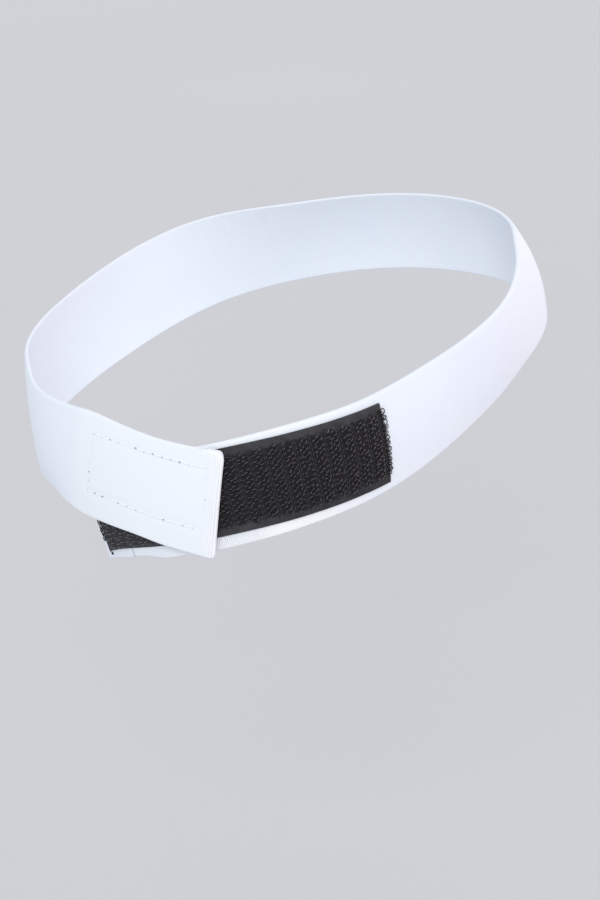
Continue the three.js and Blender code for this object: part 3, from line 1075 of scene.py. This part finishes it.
def make_stitches(finish, starts, ends, openness):
    """White thread between the needle holes, drawn in deeper where the hole has closed on it."""
    share = np.linspace(*STITCH_SHARE, STITCH_POINTS)
    arch = STITCH_BULGE * np.sin(share * math.pi) ** STITCH_ROUNDNESS
    flat = starts[:, None] + (ends - starts)[:, None] * share[None, :, None]
    seat = BAND_THICKNESS - STITCH_SINK - STITCH_SEAT - STITCH_DRAWN_IN * (1 - openness)
    paths = worn(flat[..., 0], flat[..., 1], seat[:, None] + arch)
    _, heading, up, _ = strip_place(turn_at(starts[:, 0]))
    way = unit(ends - starts)
    side = up * way[:, :1] - heading * way[:, 1:]
    points, faces = tubes(paths, side, STITCH_THREAD, THREAD_SIDES)
    return make_piece("tab_stitches", points, faces, finish, "elastic")


def make_needle_holes(finish, holes, openness):
    """Small pits where the thread goes through the elastic, coloured dark with painted shade."""
    rim_sides = 8
    angle = np.arange(rim_sides) * 2 * math.pi / rim_sides
    size = (SMALLEST_HOLE + HOLE_GROWTH * openness)[:, None]
    along = holes[:, :1] + size * HOLE_STRETCH * np.cos(angle)
    across = holes[:, 1:] + size * np.sin(angle)
    surface = BAND_THICKNESS - STITCH_SINK
    rim = worn(along, across, np.full(along.shape, surface + HOLE_RIM))
    floor = worn(holes[:, :1], holes[:, 1:], np.full((len(holes), 1), surface - HOLE_DEPTH))
    points = np.concatenate([rim, floor], 1).reshape(-1, 3)
    faces = []
    for first in range(0, len(points), rim_sides + 1):
        ring = list(range(first, first + rim_sides))
        bottom = first + rim_sides
        faces.append(ring)
        faces += [[ring[k - 1], bottom, ring[k]] for k in range(rim_sides)]
    return make_piece("needle_holes", points, faces, finish, "elastic")


def make_frayed_end(finish):
    """Loose fibre ends along the strip's raw cut."""
    count = (FIBRES, 1)
    inset = HALF_BAND - FIBRE_INSET
    length = SHORTEST_FIBRE + FIBRE_GROWTH * RANDOM.uniform(0, 1, count) ** 2
    lean = shuffle(FIBRE_LEAN, count)
    droop = shuffle(FIBRE_DROOP, count)
    share = np.linspace(0, 1, FIBRE_POINTS)
    along = FIBRE_ROOT - (FIBRE_ROOT + length) * share
    across = shuffle(inset, count) + lean * length * share**2
    outward = RANDOM.uniform(*FIBRE_HEIGHTS, count) + droop * length * share**2
    placed = slant(along, across)
    _, _, up, _ = strip_place(turn_at(placed[:, 0]))
    paths = worn(placed, waver(placed, across), outward)
    points, faces = tubes(paths, up, FIBRE_THICKNESS * (1 - FIBRE_TAPER * share), FIBRE_SIDES)
    return make_piece("frayed_fibres", points, faces, finish, "elastic")


def make_floor(finish):
    size = FLOOR_HALF_SIZE
    corners = [(x, y, FLOOR_LEVEL) for x, y in ((-size, -size), (size, -size), (size, size), (-size, size))]
    floor = make_piece("pale_floor", corners, [[0, 1, 2, 3]], finish)


def view_axes(azimuth, elevation):
    """Directions to the right, up and back from what is looked at."""
    a, e = math.radians(azimuth), math.radians(elevation)
    back = Vector((math.sin(a) * math.cos(e), -math.cos(a) * math.cos(e), math.sin(e)))
    right = (-back).cross(Vector((0, 0, 1))).normalized()
    return right, right.cross(-back), back


def make_camera():
    """The photo's view: fitted angle, distance and framing, with a slight roll."""
    right, up, back = view_axes(CAMERA_AZIMUTH, CAMERA_ELEVATION)
    place = back * CAMERA_DISTANCE + right * CAMERA_RIGHT + up * CAMERA_UP
    roll = math.radians(CAMERA_ROLL)
    rolled_right = right * math.cos(roll) + up * math.sin(roll)
    rolled_up = up * math.cos(roll) - right * math.sin(roll)
    data = bpy.data.cameras.new("photo_view")
    data.sensor_width = SENSOR_MM
    data.lens = FOCAL_PIXELS / FRAME_PIXELS * SENSOR_MM
    data.clip_start = 0.01
    data.clip_end = 100.0
    camera = bpy.data.objects.new("photo_view", data)
    turned = Matrix((rolled_right, rolled_up, back)).transposed().to_4x4()
    camera.matrix_world = Matrix.Translation(place * MM) @ turned
    bpy.context.scene.collection.objects.link(camera)
    bpy.context.scene.camera = camera


def make_lights():
    for name, azimuth, elevation, strength, softness, colour in LIGHTS:
        _, _, back = view_axes(azimuth, elevation)
        data = bpy.data.lights.new(name, "SUN")
        data.angle = math.radians(softness)
        data.energy = strength
        data.color = colour
        light = bpy.data.objects.new(name, data)
        light.location = back
        light.rotation_euler = back.to_track_quat("Z", "Y").to_euler()
        bpy.context.scene.collection.objects.link(light)
    world = bpy.data.worlds.new("studio")
    world.use_nodes = True
    background = world.node_tree.nodes["Background"]
    background.inputs["Color"].default_value = STUDIO_COLOUR
    background.inputs["Strength"].default_value = STUDIO_STRENGTH
    bpy.context.scene.world = world
    bpy.context.scene.view_settings.view_transform = "Standard"


make_camera()
make_lights()
make_floor(floor_finish())

white_thread, black_thread, ground_cord, hole_shade = (thread_finish(*row) for row in THREADS)

elastic_strip = make_elastic_band(elastic_finish())
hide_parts("elastic_band")
hook_ground = make_hook_ground(hook_base_finish())
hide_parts("hook_patch")
hooks = make_hooks(hook_finish())
lane_cords = make_lane_cords(ground_cord)
end_rings = make_end_rings(black_thread)
thread_end = make_black_thread_end(black_thread)
loop_tape = make_loop_patch(loop_finish())
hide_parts("loop_patch")
stitch_starts, stitch_ends, hole_openness = stitch_line()
stitches = make_stitches(white_thread, stitch_starts, stitch_ends, hole_openness)
needle_holes = make_needle_holes(hole_shade, stitch_starts, hole_openness)
frayed_fibres = make_frayed_end(white_thread)
